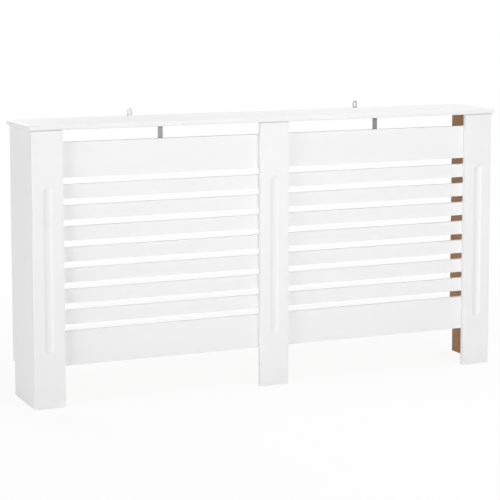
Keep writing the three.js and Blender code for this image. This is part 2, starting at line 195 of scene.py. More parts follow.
def paintFinish():
    s = satinWhite
    material, g = newFinish("satinWhitePaint")
    place = objectPlace(g)
    cloud = g.noise(place, *s["cloud"])
    passes = g.noise(g.stretched(place, s["passStretch"]), *s["passes"])  # overlapping spray passes
    patches = (cloud + passes) * s["patchGain"] - s["patchGain"] / 2
    tone = g.tinted(g.clamped(patches), s["body"], s["shade"])
    eased = g.node("ShaderNodeAttribute", {"attribute_name": "easedEdge"}, None, "Fac")
    rubbed = g.clamped(eased * g.ramped(g.noise(place, *s["rubbing"]), *s["rubbedEdge"]))
    tone = g.tinted(rubbed * s["rubbedTint"], tone, s["thin"])
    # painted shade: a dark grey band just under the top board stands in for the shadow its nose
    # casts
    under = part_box("top_board")[0].z - xyz(g, place)[2]
    past = g.ramped(under, s["jointBand"] - s["jointFade"], s["jointBand"] + s["jointFade"])
    joint = g.ramped(under, 0.0, s["jointStart"]) * (1 - past)
    tone = g.tinted(joint * (s["jointCover"] + cloud * s["jointCloud"]), tone, s["joint"])
    peel = g.noise(place, *s["peel"])
    roughness = (s["roughness"] + (cloud - 0.5) * s["cloudRoughness"]
                 + (peel - 0.5) * s["peelRoughness"] + rubbed * s["rubbedRoughness"])
    sanding = g.noise(g.stretched(place, s["sandingStretch"]), *s["sanding"])
    nib = 1 - g.ramped(g.cells(place, s["nibScale"]), *s["nibEdge"])
    height = peel + sanding * s["sandingHeight"] + nib * s["nibHeight"]
    finishOff(g, Base_Color=tone, Roughness=roughness, IOR=s["ior"],
              Normal=g.bump(height, s["bumpStrength"], s["bumpDepth"]))
    return material


bareBrown = {"body": (0.495, 0.298, 0.178), "dark": (0.334, 0.190, 0.111),
             "light": (0.64, 0.43, 0.275), "middle": 0.6,
             "blotch": (9.0, 4.0, 0.6), "blotchTint": 1.3,
             "matted": (300.0, 4.0, 0.65), "mattedStretch": (1.0, 2.6, 0.7),
             "mattedTurn": (0.4, 0.9, 0.2), "mattedTint": 2.4,
             "mottle": (140.0, 2.0), "mottleTint": 1.6,
             "fibre": (900.0, 3.0, 0.7), "fibreGain": 1.5, "fibreFrom": 0.55, "fibreTint": 0.4,
             "fleckScale": 420.0, "fleckStretch": (1.0, 1.0, 0.45), "fleckTurn": (0.3, 0.5, 0.8),
             "fleckEdge": (0.06, 0.2), "fleckTint": 0.45,
             "mist": (0.70, 0.655, 0.61), "mistGrain": (170.0, 3.0, 0.7), "mistCover": 0.55,
             "mistSpread": 0.8, "mistGloss": 0.18,
             "roughness": 0.86, "specular": 0.2,
             "fibreHeight": 0.6, "bumpStrength": 0.55, "bumpDepth": 0.00025}


def bareBoardFinish(name, overspray):
    s = bareBrown
    material, g = newFinish(name)
    place = objectPlace(g)
    blotch = g.noise(place, *s["blotch"])
    matted = g.noise(g.stretched(place, s["mattedStretch"], s["mattedTurn"]), *s["matted"])
    mottle = g.noise(place, *s["mottle"])
    patch = ((blotch - 0.5) * s["blotchTint"] + (matted - 0.5) * s["mattedTint"]
             + (mottle - 0.5) * s["mottleTint"])
    tone = g.tinted(g.clamped(patch + s["middle"]), s["dark"], s["body"])
    fibre = g.noise(place, *s["fibre"])
    strands = g.clamped(fibre * s["fibreGain"] - s["fibreFrom"])
    tone = g.tinted(strands * s["fibreTint"], tone, s["light"])
    flecks = g.cells(g.stretched(place, s["fleckStretch"], s["fleckTurn"]), s["fleckScale"])
    tone = g.tinted((1 - g.ramped(flecks, *s["fleckEdge"])) * s["fleckTint"], tone, s["light"])
    grained = s["mistCover"] + g.noise(place, *s["mistGrain"]) * s["mistSpread"]
    mist = g.clamped(overspray(g, place) * grained)
    tone = g.tinted(mist, tone, s["mist"])
    finishOff(g, Base_Color=tone, Roughness=s["roughness"] - mist * s["mistGloss"],
              Specular_IOR_Level=s["specular"],
              Normal=g.bump(fibre * s["fibreHeight"] + matted, s["bumpStrength"], s["bumpDepth"]))
    return material


frontMist = {"ragged": (26.0, 3.0, 0.6), "raggedDepth": 0.016, "edge": (0.001, 0.013),
             "cover": 0.75}


def panelOverspray(g, place):
    # the spray that hit the panel's front edge also drifted a little way over its inner face
    s = frontMist
    ragged = (g.noise(place, *s["ragged"]) - 0.5) * s["raggedDepth"]
    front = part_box("side_panel_left")[0].y
    return (1 - g.ramped(xyz(g, place)[1] - front + ragged, *s["edge"])) * s["cover"]


strayMist = {"patches": (5.0, 2.0), "edge": (0.2, 0.42), "cover": 0.1}


def plainInside(g, place):
    s = strayMist
    return (1 - g.ramped(g.noise(place, *s["patches"]), *s["edge"])) * s["cover"]


slotRow = {"count": 8, "height": 0.020, "railHeight": 0.101}
sheetLow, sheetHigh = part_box("grille_panel_left")
slotRow["first"] = sheetLow.z + slotRow["railHeight"] + slotRow["height"] / 2
slotRow["last"] = sheetHigh.z - slotRow["railHeight"] - slotRow["height"] / 2
slotRow["pitch"] = (slotRow["last"] - slotRow["first"]) / (slotRow["count"] - 1)

slotMist = {"ragged": (30.0, 3.0, 0.6), "raggedDepth": 0.012, "slotFringe": 0.011,
            "rimFringe": 0.009, "cover": 0.8}


def slotOverspray(g, place):
    # paint blown through the slots leaves a soft white fringe round them on the back
    s = slotMist
    z = xyz(g, place)[2]
    ragged = (g.noise(place, *s["ragged"]) - 0.5) * s["raggedDepth"]
    step = (z - slotRow["first"]) / slotRow["pitch"]
    nearest = g.maths("MAXIMUM", g.maths("ROUND", step), 0.0)
    nearest = g.maths("MINIMUM", nearest, slotRow["count"] - 1.0)
    away = g.maths("ABSOLUTE", (step - nearest) * slotRow["pitch"]) - slotRow["height"] / 2
    fringe = 1 - g.ramped(away + ragged, 0.0, s["slotFringe"])
    rim = g.maths("MINIMUM", z - sheetLow.z, sheetHigh.z - z)
    return g.clamped(fringe + (1 - g.ramped(rim + ragged, 0.0, s["rimFringe"]))) * s["cover"]


metalGrain = {"lines": (900.0, 2.0), "cloud": (60.0, 3.0, 0.6), "crystalScale": 260.0,
              "cloudGain": 1.2, "cloudFrom": 0.2, "metallic": 0.93, "linesRoughness": 0.16,
              "cloudRoughness": 0.12, "bumpStrength": 0.25, "bumpDepth": 0.00003}
metals = {"zincStripSteel": {"light": (0.42, 0.425, 0.44), "dark": (0.30, 0.305, 0.32),
                             "roughness": 0.42, "brush": (1.0, 0.15, 0.15), "spangle": 0.35},
          # the hangers' zinc strip with its colour darkened: painted shade for the straps and brace
          # under the top
          "zincStripDarkenedForShade": {"light": (0.215, 0.217, 0.226), "dark": (0.15, 0.152, 0.16),
                             "roughness": 0.45, "brush": (1.0, 0.15, 0.15), "spangle": 0.3},
          "brightZincScrew": {"light": (0.68, 0.67, 0.64), "dark": (0.50, 0.49, 0.46),
                              "roughness": 0.34, "brush": (1.0, 1.0, 1.0), "spangle": 0.0},
          "dieCastCam": {"light": (0.60, 0.60, 0.59), "dark": (0.46, 0.46, 0.45),
                         "roughness": 0.5, "brush": (1.0, 1.0, 1.0), "spangle": 0.15}}


def metalFinish(name):
    s, grain = metals[name], metalGrain
    material, g = newFinish(name)
    place = objectPlace(g)
    lines = g.noise(g.stretched(place, s["brush"]), *grain["lines"])
    cloud = g.noise(place, *grain["cloud"])
    crystals = g.cells(place, grain["crystalScale"], "Color")
    spangle = g.node("ShaderNodeSeparateColor", None, {"Color": crystals}) * s["spangle"]
    patches = cloud * grain["cloudGain"] - grain["cloudFrom"] + spangle
    roughness = (s["roughness"] + (lines - 0.5) * grain["linesRoughness"]
                 + (cloud - 0.5) * grain["cloudRoughness"])
    finishOff(g, Base_Color=g.tinted(g.clamped(patches), s["dark"], s["light"]),
              Metallic=grain["metallic"], Roughness=roughness,
              Normal=g.bump(lines + spangle, grain["bumpStrength"], grain["bumpDepth"]))
    return material


beechWood = {"light": (0.63, 0.44, 0.27), "dark": (0.50, 0.32, 0.18), "ray": (0.36, 0.21, 0.11),
             "grain": (700.0, 3.0, 0.6), "grainStretch": (0.25, 0.25, 1.0),
             "rayScale": 900.0, "rayStretch": (0.3, 0.3, 1.0), "rayEdge": (0.1, 0.3),
             "rayTint": 0.5, "roughness": 0.6, "grainRoughness": 0.15,
             "bumpStrength": 0.4, "bumpDepth": 0.0001}


def beechFinish():
    s = beechWood
    material, g = newFinish("beechDowel")
    place = objectPlace(g)
    grain = g.noise(g.stretched(place, s["grainStretch"]), *s["grain"])
    rays = g.cells(g.stretched(place, s["rayStretch"]), s["rayScale"])
    tone = g.tinted(grain, s["light"], s["dark"])
    tone = g.tinted((1 - g.ramped(rays, *s["rayEdge"])) * s["rayTint"], tone, s["ray"])
    finishOff(g, Base_Color=tone, Roughness=s["roughness"] + grain * s["grainRoughness"],
              Normal=g.bump(grain, s["bumpStrength"], s["bumpDepth"]))
    return material


paint = paintFinish()
barePanel = bareBoardFinish("bareBoardInsidePanel", panelOverspray)
bareSheet = bareBoardFinish("bareBoardBehindSheet", slotOverspray)
bareInside = bareBoardFinish("bareBoardInside", plainInside)
stripSteel = metalFinish("zincStripSteel")
# painted shade: the straps and brace take a darkened copy of the hangers' zinc strip steel
shadedZincStrip = metalFinish("zincStripDarkenedForShade")
screwZinc = metalFinish("brightZincScrew")
camMetal = metalFinish("dieCastCam")
beech = beechFinish()
print("finishes made:", len(bpy.data.materials))


# turning what the script builds into finished pieces

meshCare = {"creaseDegrees": 50, "mergeWithin": 1e-6, "sliver": 1e-7, "flatWeight": 100}


def newObject(name, mesh, materials=()):
    made = bpy.data.objects.new(name, mesh)
    bpy.context.scene.collection.objects.link(made)
    for material in materials:
        mesh.materials.append(material)
    return made


def flatten(made):
    # the modifiers' result becomes the object's own mesh
    bpy.context.view_layer.update()
    old = made.data
    evaluated = made.evaluated_get(bpy.context.evaluated_depsgraph_get())
    plain = bpy.data.meshes.new_from_object(evaluated)
    made.modifiers.clear()
    made.data = plain
    bpy.data.meshes.remove(old)
    plain.name = made.name
    return plain


def settle(made, creaseDegrees=meshCare["creaseDegrees"], reface=True):
    # closes the finished mesh, turns its faces outwards and evens its shading
    plain = flatten(made)
    bm = bmesh.new()
    bm.from_mesh(plain)
    bmesh.ops.remove_doubles(bm, verts=bm.verts, dist=meshCare["mergeWithin"])
    if reface:
        bmesh.ops.recalc_face_normals(bm, faces=bm.faces)
    for face in bm.faces:
        face.smooth = True
    bm.to_mesh(plain)
    bm.free()
    plain.set_sharp_from_angle(angle=math.radians(creaseDegrees))
    weigh = made.modifiers.new("flatFacesFirst", "WEIGHTED_NORMAL")
    weigh.mode, weigh.weight, weigh.keep_sharp = "FACE_AREA", meshCare["flatWeight"], True
    flatten(made)


def handIn(made, slotName, *replaced):
    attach(made, "root")
    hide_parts(*replaced)
    print("piece:", made.name, len(made.data.polygons), "faces")


def loftMesh(name, rings, materials, edgeRings=(), bareEnd=False):
    # skins equal closed rings and caps both ends; a bare end takes the second material
    bm = bmesh.new()
    edge = bm.verts.layers.float.new("easedEdge")
    rows = []
    for number, ring in enumerate(rings):
        rows.append([bm.verts.new(point) for point in ring])
        for vert in rows[-1]:
            vert[edge] = 1.0 if number in edgeRings else 0.0
    for low, high in zip(rows, rows[1:]):
        for i in range(len(low)):
            bm.faces.new((low[i - 1], low[i], high[i], high[i - 1]))
    for row, materialIndex in ((rows[0], 0), (rows[-1], int(bareEnd))):
        spots = {tuple(round(c, 7) for c in vert.co) for vert in row}
        if len(spots) > len(row) // 2 + 1:  # a ring closed up to a line needs no cap
            bm.faces.new(row).material_index = materialIndex
    bmesh.ops.remove_doubles(bm, verts=bm.verts, dist=meshCare["mergeWithin"])
    bmesh.ops.dissolve_degenerate(bm, edges=bm.edges, dist=meshCare["sliver"])
    bmesh.ops.recalc_face_normals(bm, faces=bm.faces)
    mesh = bpy.data.meshes.new(name)
    bm.to_mesh(mesh)
    bm.free()
    return newObject(name, mesh, materials)


def easedSteps(easing, steps):
    # (inset, rise) pairs of a quarter round from the flat face round to the side
    turns = [math.pi / 2 * i / steps for i in range(steps + 1)]
    return [(easing * (1 - math.sin(a)), easing * (1 - math.cos(a))) for a in turns]


# posts: each a board with one cove flute, its rim softened by sanding and paint

postForm = {"fluteWidth": 0.027, "fluteDepth": 0.005, "fluteFromFloor": 0.160,
            "fluteFromTop": 0.160, "topBoardUnderside": 0.800,
            "rimSoftness": 0.0007, "rimRings": ((-0.25, 0.38), (0.45, 0.09), (1.2, 0.0)),
            "easing": 0.0014, "easeSteps": 4, "backEasing": 0.0005, "backSteps": 2,
            "coveSteps": 9, "endSteps": 14, "sideSteps": 6}


def postPiece(name, node):
    s = postForm
    low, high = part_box(node)
    middle, halfWidth = (low.x + high.x) / 2, (high.x - low.x) / 2
    fluteHalf = s["fluteWidth"] / 2
    radius = (fluteHalf ** 2 + s["fluteDepth"] ** 2) / (2 * s["fluteDepth"])
    fluteLow = s["fluteFromFloor"] + fluteHalf
    fluteHigh = s["topBoardUnderside"] - s["fluteFromTop"] - fluteHalf

    def coveDepth(reach):
        return math.sqrt(radius ** 2 - reach ** 2) - radius + s["fluteDepth"]

    def stadium(reach, depth):
        points = []
        for i in range(s["sideSteps"] + 1):
            points.append((reach, fluteLow + (fluteHigh - fluteLow) * i / s["sideSteps"]))
        for i in range(1, s["endSteps"]):
            a = math.pi * i / s["endSteps"]
            points.append((reach * math.cos(a), fluteHigh + reach * math.sin(a)))
        for i in range(s["sideSteps"] + 1):
            points.append((-reach, fluteHigh - (fluteHigh - fluteLow) * i / s["sideSteps"]))
        for i in range(1, s["endSteps"]):
            a = math.pi + math.pi * i / s["endSteps"]
            points.append((reach * math.cos(a), fluteLow + reach * math.sin(a)))
        return [(middle + x, low.y + depth, z) for x, z in points]

    def block(inset, depth):
        half, bottom, top = halfWidth - inset, low.z + inset, high.z - inset
        points = []
        for i in range(s["sideSteps"] + 1):
            points.append((half, bottom + (top - bottom) * i / s["sideSteps"]))
        for i in range(1, s["endSteps"]):
            points.append((half * (1 - 2 * i / s["endSteps"]), top))
        for i in range(s["sideSteps"] + 1):
            points.append((-half, top - (top - bottom) * i / s["sideSteps"]))
        for i in range(1, s["endSteps"]):
            points.append((half * (2 * i / s["endSteps"] - 1), bottom))
        return [(middle + x, low.y + depth, z) for x, z in points]

    inner = fluteHalf - s["rimSoftness"]
    reaches = [inner * i / s["coveSteps"] for i in range(s["coveSteps"] + 1)]
    rings = [stadium(reach, coveDepth(reach)) for reach in reaches]
    for outwards, share in s["rimRings"]:  # shares of the rim's softness and of its depth
        rings.append(stadium(fluteHalf + s["rimSoftness"] * outwards, coveDepth(inner) * share))
    firstEase = len(rings)
    rings += [block(inset, rise) for inset, rise in easedSteps(s["easing"], s["easeSteps"])]
    thick = high.y - low.y
    back = reversed(easedSteps(s["backEasing"], s["backSteps"]))
    rings += [block(inset, thick - rise) for inset, rise in back]
    made = loftMesh(name, rings, [paint, bareInside], bareEnd=True,
                    edgeRings=range(firstEase + 1, firstEase + s["easeSteps"]))
    settle(made)
    handIn(made, "painted_board", node)


postPiece("cornerPostLeft", "corner_post_left")
postPiece("cornerPostRight", "corner_post_right")
postPiece("centrePost", "centre_post")


# top board: round nose along the front and both ends, square sawn back

topForm = {"noseRadius": 0.005, "noseSteps": 8, "cornerRadius": 0.009, "cornerSteps": 8,
           "alongSteps": 24}


def topPiece():
    s = topForm
    low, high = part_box("top_board")
    turns = [math.pi / 2 * i / s["cornerSteps"] for i in range(s["cornerSteps"] + 1)]

    def outline(inset, z):
        left, right, front = low.x + inset, high.x - inset, low.y + inset
        corner = s["cornerRadius"] - inset
        span = right - left - 2 * corner
        points = [(left, high.y)]
        for turn in turns:
            a = math.pi + turn
            points.append((left + corner + corner * math.cos(a),
                           front + corner + corner * math.sin(a)))
        for i in range(1, s["alongSteps"]):
            points.append((left + corner + span * i / s["alongSteps"], front))
        for turn in turns:
            a = 1.5 * math.pi + turn
            points.append((right - corner + corner * math.cos(a),
                           front + corner + corner * math.sin(a)))
        points.append((right, high.y))
        return [(x, y, z) for x, y in points]

    quarter = easedSteps(s["noseRadius"], s["noseSteps"])
    rings = [outline(inset, low.z + rise) for inset, rise in quarter]
    rings += [outline(inset, high.z - rise) for inset, rise in reversed(quarter)]
    halfway = s["noseSteps"] // 2
    made = loftMesh("shelfTop", rings, [paint], edgeRings=(halfway, len(rings) - 1 - halfway))
    settle(made)
    handIn(made, "painted_board", "top_board")


topPiece()


# side panels: a plain end with a notch for the skirting board, bored inside for the cams

panelForm = {"easing": 0.0012, "easeSteps": 3, "innerEasing": 0.0004, "innerSteps": 2,
             "notchDepth": 0.018, "notchHeight": 0.100,
             "camBore": 0.0078, "camBoreDepth": 0.0128, "boreSides": 48}


def insetOutline(points, inset):
    # moves each side of a closed outline inwards by the same distance
    moved = []
    for i, here in enumerate(points):
        before, after = points[i - 1], points[(i + 1) % len(points)]
        a, b = (here - before).normalized(), (after - here).normalized()
        moved.append(here + inset * (Vector((-a.y, a.x)) + Vector((-b.y, b.x))))
    return moved


def panelPiece(name, node, camNodes):
    s = panelForm
    low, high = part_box(node)
    rightHand = low.x > 0
    outerX, innerX = (high.x, low.x) if rightHand else (low.x, high.x)
    inwards = -1 if rightHand else 1
    notchY = high.y - s["notchDepth"]
    corners = ((low.y, low.z), (notchY, low.z), (notchY, s["notchHeight"]),
               (high.y, s["notchHeight"]), (high.y, high.z), (low.y, high.z))
    outline = [Vector(corner) for corner in corners]

    def ring(inset, x):
        return [(x, p.x, p.y) for p in insetOutline(outline, inset)]

    outer = easedSteps(s["easing"], s["easeSteps"])
    inner = easedSteps(s["innerEasing"], s["innerSteps"])
    rings = [ring(inset, outerX + inwards * rise) for inset, rise in outer]
    rings += [ring(inset, innerX - inwards * rise) for inset, rise in reversed(inner)]
    made = loftMesh(name, rings, [paint, barePanel], bareEnd=True,
                    edgeRings=range(1, s["easeSteps"]))
    sideways = Matrix.Rotation(math.pi / 2, 4, "Y")
    cutters = []
    for cam in camNodes:
        camLow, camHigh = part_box(cam)
        centre = (camLow + camHigh) / 2
        bm = bmesh.new()
        bmesh.ops.create_cone(bm, cap_ends=True, segments=s["boreSides"], radius1=s["camBore"],
                              radius2=s["camBore"], depth=2 * s["camBoreDepth"],
                              matrix=Matrix.Translation((innerX, centre.y, centre.z)) @ sideways)
        cutterMesh = bpy.data.meshes.new(name + "Bore")
        bm.to_mesh(cutterMesh)
        bm.free()
        cutters.append(newObject(name + "Bore", cutterMesh, [barePanel]))
        bore = made.modifiers.new("camBore", "BOOLEAN")
        bore.operation, bore.solver, bore.object = "DIFFERENCE", "EXACT", cutters[-1]
        bore.material_mode = "TRANSFER"
    settle(made, reface=False)
    for cutter in cutters:
        bpy.data.objects.remove(cutter)
    handIn(made, "painted_board", node)


for side in ("left", "right"):
    panelPiece("sidePanel" + side.capitalize(), "side_panel_" + side,
               [f"cam_post_{side}_1", f"cam_post_{side}_2", f"cam_top_{side}"])


# geometry nodes: a tree with named inputs, how it ends, and how it runs on an object

socketKinds = {"float": "NodeSocketFloat", "int": "NodeSocketInt", "vector": "NodeSocketVector",
               "material": "NodeSocketMaterial", "geometry": "NodeSocketGeometry"}


def newTree(name, inputs):
    tree = bpy.data.node_groups.new(name, "GeometryNodeTree")
    inputs = {"Geometry": "geometry", **inputs}
    for label, kind in inputs.items():
        tree.interface.new_socket(name=label, in_out="INPUT", socket_type=socketKinds[kind])
    tree.interface.new_socket(name="Geometry", in_out="OUTPUT",
                              socket_type=socketKinds["geometry"])
    graph = Graph(tree)
    entry = graph.node("NodeGroupInput")
    return tree, graph, {label: entry.output(label) for label in inputs}


def endTree(graph, geometry, material, chosen=True):
    real = graph.node("GeometryNodeRealizeInstances", None, {"Geometry": geometry})
    real = graph.node("GeometryNodeSetMaterial", None,
                      {"Geometry": real, "Selection": chosen, "Material": material})
    graph.node("NodeGroupOutput", None, {"Geometry": real})


def growPiece(name, tree, places, values, directions=None):
    # an object of bare points, which the tree turns into the piece
    mesh = bpy.data.meshes.new(name)
    mesh.from_pydata([tuple(p) for p in places], [], [])
    if directions:
        layer = mesh.attributes.new("driveWay", "FLOAT_VECTOR", "POINT")
        for item, way in zip(layer.data, directions):
            item.vector = way
    made = newObject(name, mesh)
    modifier = made.modifiers.new("grow", "NODES")
    modifier.node_group = tree
    for item in tree.interface.items_tree:
        if item.item_type == "SOCKET" and item.in_out == "INPUT" and item.name in values:
            modifier[item.identifier] = values[item.name]
    return made


# grille sheets: a board with a pattern of long round-ended slots between two rails

sheetForm = {"postWidth": 0.093, "slotTuck": 0.012, "slotArcSteps": 9, "slotRounding": 0.4999,
             "screwHole": 0.0043, "holeSides": 24, "easing": 0.0009, "easeSteps": 3,
             "easeDegrees": 50, "mergeWithin": 0.00001, "backFacing": 0.9}


def sheetTree():
    s = sheetForm
    tree, g, given = newTree("slottedSheet", {
        "Width": "float", "Height": "float", "Thickness": "float", "Slot Start": "float",
        "Slot End": "float", "Slot Height": "float", "First Slot": "float", "Pitch": "float",
        "Slot Count": "int", "Arc Steps": "int", "Hole Radius": "float", "Hole Sides": "int",
        "Place": "vector", "Paint": "material", "Bare Board": "material"})
    rim = g.node("GeometryNodeCurvePrimitiveQuadrilateral", {"mode": "RECTANGLE"},
                 {"Width": given["Width"], "Height": given["Height"]})
    centre = g.vector(given["Width"] / 2, given["Height"] / 2)
    rim = g.node("GeometryNodeTransform", None, {"Geometry": rim, "Translation": centre})
    slot = g.node("GeometryNodeCurvePrimitiveQuadrilateral", {"mode": "RECTANGLE"},
                  {"Width": given["Slot End"] - given["Slot Start"],
                   "Height": given["Slot Height"]})
    slot = g.node("GeometryNodeFilletCurve", {"mode": "POLY"},
                  {"Curve": slot, "Radius": given["Slot Height"] * s["slotRounding"],
                   "Count": given["Arc Steps"], "Limit Radius": True})
    slotMiddle = (given["Slot Start"] + given["Slot End"]) / 2
    row = g.node("GeometryNodeMeshLine", {"mode": "OFFSET"},
                 {"Count": given["Slot Count"], "Offset": g.vector(0.0, given["Pitch"]),
                  "Start Location": g.vector(slotMiddle, given["First Slot"])})
    slots = g.node("GeometryNodeInstanceOnPoints", None, {"Points": row, "Instance": slot})
    hole = g.node("GeometryNodeCurvePrimitiveCircle", {"mode": "RADIUS"},
                  {"Resolution": given["Hole Sides"], "Radius": given["Hole Radius"]})
    holes = g.node("GeometryNodeInstanceOnPoints", None,
                   {"Points": given["Geometry"], "Instance": hole})
    lines = g.node("GeometryNodeJoinGeometry", None, {"Geometry": [rim, slots, holes]})
    lines = g.node("GeometryNodeRealizeInstances", None, {"Geometry": lines})
    face = g.node("GeometryNodeFillCurve", {"mode": "NGONS"}, {"Curve": lines})
    board = g.node("GeometryNodeExtrudeMesh", {"mode": "FACES"},
                   {"Mesh": face, "Offset Scale": given["Thickness"], "Individual": False})
    back = g.node("GeometryNodeFlipFaces", None, {"Mesh": face})
    board = g.node("GeometryNodeJoinGeometry", None, {"Geometry": [board, back]})
    board = g.node("GeometryNodeMergeByDistance", None,
                   {"Geometry": board, "Distance": s["mergeWithin"]})
    board = g.node("GeometryNodeTransform", None,
                   {"Geometry": board, "Rotation": (math.pi / 2, 0.0, 0.0),
                    "Translation": given["Place"]})
    board = g.node("GeometryNodeSetMaterial", None,
                   {"Geometry": board, "Material": given["Paint"]})
    backwards = xyz(g, g.node("GeometryNodeInputNormal"))[1]
    behind = g.node("FunctionNodeCompare", {"data_type": "FLOAT", "operation": "GREATER_THAN"},
                    {0: backwards, 1: s["backFacing"]})
    endTree(g, board, given["Bare Board"], behind)
    return tree


slottedSheet = sheetTree()


def sheetPiece(name, node, side):
    s = sheetForm
    low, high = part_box(node)
    openInner = s["postWidth"] / 2 - s["slotTuck"]
    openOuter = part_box("corner_post_right")[0].x + s["slotTuck"]
    start, end = (openInner, openOuter) if side == "right" else (-openOuter, -openInner)
    places = []
    for screw in [n for n in nodes if n.startswith(f"grille_screw_{side}")]:
        screwLow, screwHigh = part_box(screw)
        places.append(((screwLow.x + screwHigh.x) / 2 - low.x,
                       (screwLow.z + screwHigh.z) / 2 - low.z, 0.0))
    made = growPiece(name, slottedSheet, places, {
        "Width": high.x - low.x, "Height": high.z - low.z, "Thickness": high.y - low.y,
        "Slot Start": start - low.x, "Slot End": end - low.x, "Slot Height": slotRow["height"],
        "First Slot": slotRow["first"] - low.z, "Pitch": slotRow["pitch"],
        "Slot Count": slotRow["count"], "Arc Steps": s["slotArcSteps"],
        "Hole Radius": s["screwHole"], "Hole Sides": s["holeSides"],
        "Place": (low.x, high.y, low.z), "Paint": paint, "Bare Board": bareSheet})
    ease = made.modifiers.new("easedEdges", "BEVEL")
    ease.width, ease.segments, ease.limit_method = s["easing"], s["easeSteps"], "ANGLE"
    ease.angle_limit, ease.offset_type = math.radians(s["easeDegrees"]), "OFFSET"
    ease.use_clamp_overlap = False
    settle(made, reface=False)
    handIn(made, "painted_board", node)


sheetPiece("grilleSheetLeft", "grille_panel_left", "left")
sheetPiece("grilleSheetRight", "grille_panel_right", "right")


# turned fittings: a profile spun round with a cross in its head, set out along the driving ways

turning = {"mergeWithin": 0.000005, "creaseDegrees": 38}


def turnedTree(name, inputs, stations):
    tree, g, given = newTree(name, {
        **inputs, "Sides": "int", "Cross Width": "float", "Cross Length": "float",
        "Cross Depth": "float", "Head Top": "float", "Seed": "int", "Finish": "material"})
    profile = stations(given)
    around = given["Sides"] + 1
    lattice = g.node("GeometryNodeMeshGrid", None,
                     {"Size X": 1.0, "Size Y": 1.0, "Vertices X": len(profile),
                      "Vertices Y": around})
    index = g.node("GeometryNodeInputIndex")
    ringNumber = g.maths("FLOOR", (index + 0.5) / around)
    turn = (index - ringNumber * around) * (2 * math.pi) / given["Sides"]
    switched = {0: ringNumber}
    for i, (radius, height) in enumerate(profile):
        switched[i + 1] = g.vector(radius, 0.0, height)
    spot = g.node("GeometryNodeIndexSwitch", {"data_type": "VECTOR", "items": len(profile)},
                  switched)
    radius, height = xyz(g, spot)[::2]
    place = g.vector(radius * g.maths("COSINE", turn), radius * g.maths("SINE", turn), height)
    body = g.node("GeometryNodeSetPosition", None, {"Geometry": lattice, "Position": place})
    body = g.node("GeometryNodeMergeByDistance", None,
                  {"Geometry": body, "Distance": turning["mergeWithin"]})
    long, short = given["Cross Length"], given["Cross Width"]
    bars = []
    for sizes in ((long, short), (short, long)):
        bar = g.node("GeometryNodeMeshCube", None,
                     {"Size": g.vector(*sizes, given["Cross Depth"] * 2)})
        bars.append(g.node("GeometryNodeTransform", None,
                           {"Geometry": bar, "Translation": g.vector(0.0, 0.0, given["Head Top"])}))
    cut = g.node("GeometryNodeMeshBoolean", {"operation": "DIFFERENCE", "solver": "EXACT"},
                 {"Mesh 1": body, "Mesh 2": bars})
    way = g.node("GeometryNodeInputNamedAttribute", {"data_type": "FLOAT_VECTOR"},
                 {"Name": "driveWay"})
    facing = g.node("FunctionNodeAlignRotationToVector", {"axis": "Z"}, {"Vector": way})
    spin = g.node("FunctionNodeRandomValue", {"data_type": "FLOAT"},
                  {"Min_001": 0.0, "Max_001": math.pi / 2, "Seed": given["Seed"]}, "Value_001")
    spun = g.node("FunctionNodeAxisAngleToRotation", None,
                  {"Axis": (0.0, 0.0, 1.0), "Angle": spin})
    facing = g.node("FunctionNodeRotateRotation", {"rotation_space": "LOCAL"},
                    {"Rotation": facing, "Rotate By": spun})
    row = g.node("GeometryNodeInstanceOnPoints", None,
                 {"Points": given["Geometry"], "Instance": cut, "Rotation": facing})
    endTree(g, row, given["Finish"])
    return tree


# heads from their middle outwards, as shares of the head's radius and height
headShares = {"pan": ((0.0, -1.0), (0.34, -0.985), (0.58, -0.93), (0.79, -0.8), (0.93, -0.58),
                      (0.99, -0.3), (1.0, -0.08), (0.97, 0.0)),
              "flat": ((0.0, 0.0), (0.97, 0.0), (1.0, 0.08)),
              "cam": ((0.0, 0.0), (0.8, 0.0), (0.83, 0.03), (0.88, 0.03), (0.91, 0.0),
                      (0.97, 0.0), (1.0, 0.04), (1.0, 1.0), (0.0, 1.0))}


def headProfile(given, kind):
    radius, height = given["Head Radius"], given["Head Height"]
    return [(radius * across, height * along) for across, along in headShares[kind]]


def shankProfile(given, start):
    shank, length = given["Shank"], given["Length"]
    return [(shank, start), (shank, length - given["Tip"]), (0.0, length)]


def panHead(given):
    return headProfile(given, "pan") + shankProfile(given, 0.0)


def flatHead(given):
    return headProfile(given, "flat") + shankProfile(given, given["Head Height"])


def camDisc(given):
    return headProfile(given, "cam")


headInputs = {"Head Radius": "float", "Head Height": "float"}
screwInputs = {**headInputs, "Shank": "float", "Length": "float", "Tip": "float"}
panScrewTree = turnedTree("panScrew", screwInputs, panHead)
flatScrewTree = turnedTree("flatScrew", screwInputs, flatHead)
camTree = turnedTree("camFitting", headInputs, camDisc)

panScrew = {"Head Radius": 0.0034, "Head Height": 0.002, "Shank": 0.00175, "Length": 0.012,
            "Tip": 0.003, "Sides": 28, "Cross Width": 0.00075, "Cross Length": 0.0034,
            "Cross Depth": 0.0011, "Head Top": -0.002, "Seed": 4, "Finish": screwZinc}
flatScrew = {"Head Radius": 0.004, "Head Height": 0.0026, "Shank": 0.002, "Length": 0.024,
             "Tip": 0.004, "Sides": 28, "Cross Width": 0.0009, "Cross Length": 0.0044,
             "Cross Depth": 0.0014, "Head Top": 0.0, "Seed": 9, "Finish": screwZinc}
camFitting = {"Head Radius": 0.0075, "Head Height": 0.012, "Sides": 48, "Cross Width": 0.0014,
              "Cross Length": 0.0076, "Cross Depth": 0.0024, "Head Top": 0.0, "Seed": 2,
              "Finish": camMetal}


def driven(node, way, headHeight):
    # the point under the head of a screw, from its node's box and the way it is driven
    low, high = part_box(node)
    place = (low + high) / 2
    for axis in range(3):
        if way[axis]:
            place[axis] = (high if way[axis] < 0 else low)[axis] + way[axis] * headHeight
    return place


